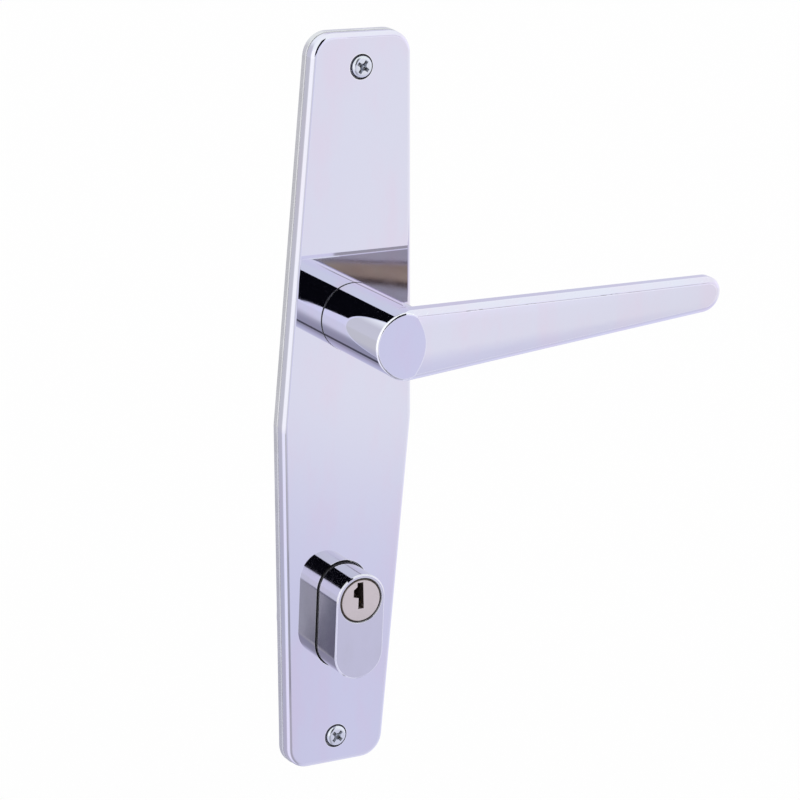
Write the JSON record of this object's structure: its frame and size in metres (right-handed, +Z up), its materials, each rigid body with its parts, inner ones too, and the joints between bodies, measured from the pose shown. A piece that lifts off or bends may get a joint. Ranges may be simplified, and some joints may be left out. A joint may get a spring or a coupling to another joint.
{
  "type": "door lock",
  "caption": "Outside trim of a door lock: long chrome plate with a tapered lever and an oval profile cylinder holding its plug, pins and cam.",
  "frame": {"origin": "axis of the lever on the door face, which is the plate's back plane", "axes": "+Y into the door along the spindle, +Z up along the plate, +X along the lever's arm"},
  "size_m": [0.134, 0.0671, 0.235],
  "materials": {
    "mirror_chrome": "mirror-bright chrome plate",
    "cast_zinc": "raw cast zinc, satin",
    "zinc_steel": "bright zinc-plated steel",
    "nylon": "moulded nylon",
    "spring_steel": "bright spring steel",
    "dark_steel": "blackened steel",
    "pin_brass": "turned brass",
    "satin_nickel": "brass with a satin nickel finish",
    "sintered_steel": "sintered steel"
  },
  "bodies": {
    "trim": {"cover_plate": "mirror_chrome", "support_plate": "cast_zinc", "fixing_screw_top": "zinc_steel", "fixing_screw_bottom": "zinc_steel", "lever_bush": "nylon", "return_spring": "spring_steel", "stop_pin": "zinc_steel", "cylinder_body": "mirror_chrome", "chamber_caps": "pin_brass", "pin_spring_1": "spring_steel", "pin_spring_2": "spring_steel", "pin_spring_3": "spring_steel", "pin_spring_4": "spring_steel", "pin_spring_5": "spring_steel"},
    "lever": {"lever_handle": "mirror_chrome", "thrust_washer": "spring_steel", "drive_disc": "zinc_steel", "lever_ring": "spring_steel", "spindle": "zinc_steel", "spindle_grub_screw": "dark_steel"},
    "plug_unit": {"plug": "satin_nickel", "plug_ring": "spring_steel", "cam": "sintered_steel"},
    "driver_pin_1": {"driver_pin_1": "satin_nickel"},
    "key_pin_1": {"key_pin_1": "pin_brass"},
    "driver_pin_2": {"driver_pin_2": "satin_nickel"},
    "key_pin_2": {"key_pin_2": "pin_brass"},
    "driver_pin_3": {"driver_pin_3": "satin_nickel"},
    "key_pin_3": {"key_pin_3": "pin_brass"},
    "driver_pin_4": {"driver_pin_4": "satin_nickel"},
    "key_pin_4": {"key_pin_4": "pin_brass"},
    "driver_pin_5": {"driver_pin_5": "satin_nickel"},
    "key_pin_5": {"key_pin_5": "pin_brass"}
  },
  "joints": [
    {"name": "lever_turn", "type": "hinge", "parent": "trim", "child": "lever", "pos_m": [0, 0, 0], "axis": [0, 1, 0], "range_deg": [0, 45], "stiffness_Nm_per_rad": 0.9, "springref_deg": -28.65, "deforming": ["return_spring"]},
    {"name": "plug_turn", "type": "hinge", "parent": "trim", "child": "plug_unit", "pos_m": [0, 0, -0.088], "axis": [0, 1, 0], "range_deg": [-360, 360]},
    {"name": "driver_slide_1", "type": "slide", "parent": "trim", "child": "driver_pin_1", "axis": [0, 0, 1], "range_m": [-0.0008, 0.0022], "stiffness_N_per_m": 60, "deforming": ["pin_spring_1"]},
    {"name": "key_slide_1", "type": "slide", "parent": "plug_unit", "child": "key_pin_1", "axis": [0, 0, 1], "range_m": [-0.0008, 0.0022]},
    {"name": "driver_slide_2", "type": "slide", "parent": "trim", "child": "driver_pin_2", "axis": [0, 0, 1], "range_m": [-0.0008, 0.0022], "stiffness_N_per_m": 60, "deforming": ["pin_spring_2"]},
    {"name": "key_slide_2", "type": "slide", "parent": "plug_unit", "child": "key_pin_2", "axis": [0, 0, 1], "range_m": [-0.0008, 0.0022]},
    {"name": "driver_slide_3", "type": "slide", "parent": "trim", "child": "driver_pin_3", "axis": [0, 0, 1], "range_m": [-0.0008, 0.0022], "stiffness_N_per_m": 60, "deforming": ["pin_spring_3"]},
    {"name": "key_slide_3", "type": "slide", "parent": "plug_unit", "child": "key_pin_3", "axis": [0, 0, 1], "range_m": [-0.0008, 0.0022]},
    {"name": "driver_slide_4", "type": "slide", "parent": "trim", "child": "driver_pin_4", "axis": [0, 0, 1], "range_m": [-0.0008, 0.0022], "stiffness_N_per_m": 60, "deforming": ["pin_spring_4"]},
    {"name": "key_slide_4", "type": "slide", "parent": "plug_unit", "child": "key_pin_4", "axis": [0, 0, 1], "range_m": [-0.0008, 0.0022]},
    {"name": "driver_slide_5", "type": "slide", "parent": "trim", "child": "driver_pin_5", "axis": [0, 0, 1], "range_m": [-0.0008, 0.0022], "stiffness_N_per_m": 60, "deforming": ["pin_spring_5"]},
    {"name": "key_slide_5", "type": "slide", "parent": "plug_unit", "child": "key_pin_5", "axis": [0, 0, 1], "range_m": [-0.0008, 0.0022]}
  ],
  "couplings": [
    {"joint": "key_slide_1", "follows": "driver_slide_1", "ratio": 1},
    {"joint": "key_slide_2", "follows": "driver_slide_2", "ratio": 1},
    {"joint": "key_slide_3", "follows": "driver_slide_3", "ratio": 1},
    {"joint": "key_slide_4", "follows": "driver_slide_4", "ratio": 1},
    {"joint": "key_slide_5", "follows": "driver_slide_5", "ratio": 1}
  ]
}
